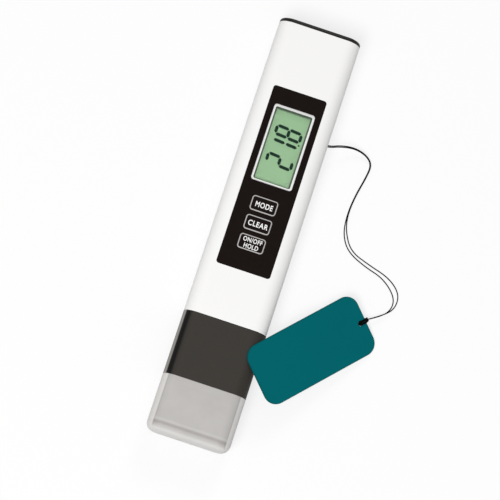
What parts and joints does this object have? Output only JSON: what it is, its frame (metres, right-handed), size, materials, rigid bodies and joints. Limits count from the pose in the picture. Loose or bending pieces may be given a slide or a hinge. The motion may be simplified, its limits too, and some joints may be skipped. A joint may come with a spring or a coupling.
{
  "type": "digital water quality tester",
  "caption": "Pen-type digital water quality tester with display, press keys, pull-off probe cap, battery drawer and a card tag on a string.",
  "frame": {"origin": "middle of the flat back, on the surface that the tester rests on", "axes": "+Y along the body towards the battery end, +Z out of the display, +X to the right of the display"},
  "size_m": [0.0708, 0.154, 0.015],
  "materials": {
    "white_shell": "satin white",
    "black_cover": "satin black",
    "collar_charcoal": "matt charcoal",
    "panel_black": "smooth warm black",
    "key_black": "smooth black with pale outline and lettering",
    "window_clear": "clear",
    "frame_white": "plain white",
    "display_clear": "clear",
    "display_green": "grey-green reflector with dark green digits",
    "elastomer_grey": "matt",
    "plunger_black": "smooth",
    "switch_black": "smooth",
    "board_green": "solder mask",
    "chip_black": "moulded",
    "can_metal": "smooth",
    "screw_steel": "plated",
    "chassis_grey": "moulded",
    "tray_black": "moulded",
    "cell_steel": "plated",
    "contact_plate": "plated spring",
    "seal_rubber": "matt",
    "head_pale": "pale grey",
    "electrode_steel": "polished",
    "sensor_steel": "satin",
    "lead_black": "insulation",
    "lead_red": "insulation",
    "lead_white": "insulation",
    "cap_frosted": "frosted translucent",
    "string_black": "twisted cord",
    "tag_teal": "coated card"
  },
  "bodies": {
    "housing": {"housing": "white_shell", "overlay_panel": "panel_black", "display_window": "window_clear", "display_frame": "frame_white", "lcd_glass": "display_clear", "lcd_panel": "display_green", "lcd_connector_upper": "elastomer_grey", "lcd_connector_lower": "elastomer_grey", "mode_switch": "switch_black", "clear_switch": "switch_black", "power_switch": "switch_black", "pcb": "board_green", "controller_chip": "chip_black", "crystal": "can_metal", "capacitors": "can_metal", "chassis": "chassis_grey", "chassis_screws": "screw_steel", "contact_negative": "contact_plate", "contact_positive": "contact_plate", "housing_seal": "seal_rubber", "cap_seal": "seal_rubber", "probe_housing": "collar_charcoal", "probe_head": "head_pale", "electrode_left": "electrode_steel", "electrode_right": "electrode_steel", "temperature_probe": "sensor_steel", "lead_left": "lead_black", "lead_middle": "lead_red", "lead_right": "lead_white", "string_inner": "string_black", "string_outer": "string_black", "string_knot": "string_black", "tag": "tag_teal"},
    "battery_drawer": {"battery_cover": "black_cover", "cover_seal": "seal_rubber", "battery_tray": "tray_black", "cell_left": "cell_steel", "cell_right": "cell_steel", "cell_bridge": "contact_plate"},
    "cap": {"cap": "cap_frosted"},
    "mode_key": {"mode_key": "key_black", "mode_plunger": "plunger_black"},
    "clear_key": {"clear_key": "key_black", "clear_plunger": "plunger_black"},
    "power_key": {"power_key": "key_black", "power_plunger": "plunger_black"}
  },
  "joints": [
    {"name": "cap_pull", "type": "slide", "parent": "housing", "child": "cap", "axis": [0, -1, 0], "range_m": [0, 0.03]},
    {"name": "battery_drawer_pull", "type": "slide", "parent": "housing", "child": "battery_drawer", "axis": [0, 1, 0], "range_m": [0, 0.03]},
    {"name": "mode_press", "type": "slide", "parent": "housing", "child": "mode_key", "axis": [0, 0, -1], "range_m": [0, 0.0003], "stiffness_N_per_m": 5000},
    {"name": "clear_press", "type": "slide", "parent": "housing", "child": "clear_key", "axis": [0, 0, -1], "range_m": [0, 0.0003], "stiffness_N_per_m": 5000},
    {"name": "power_press", "type": "slide", "parent": "housing", "child": "power_key", "axis": [0, 0, -1], "range_m": [0, 0.0003], "stiffness_N_per_m": 5000}
  ]
}
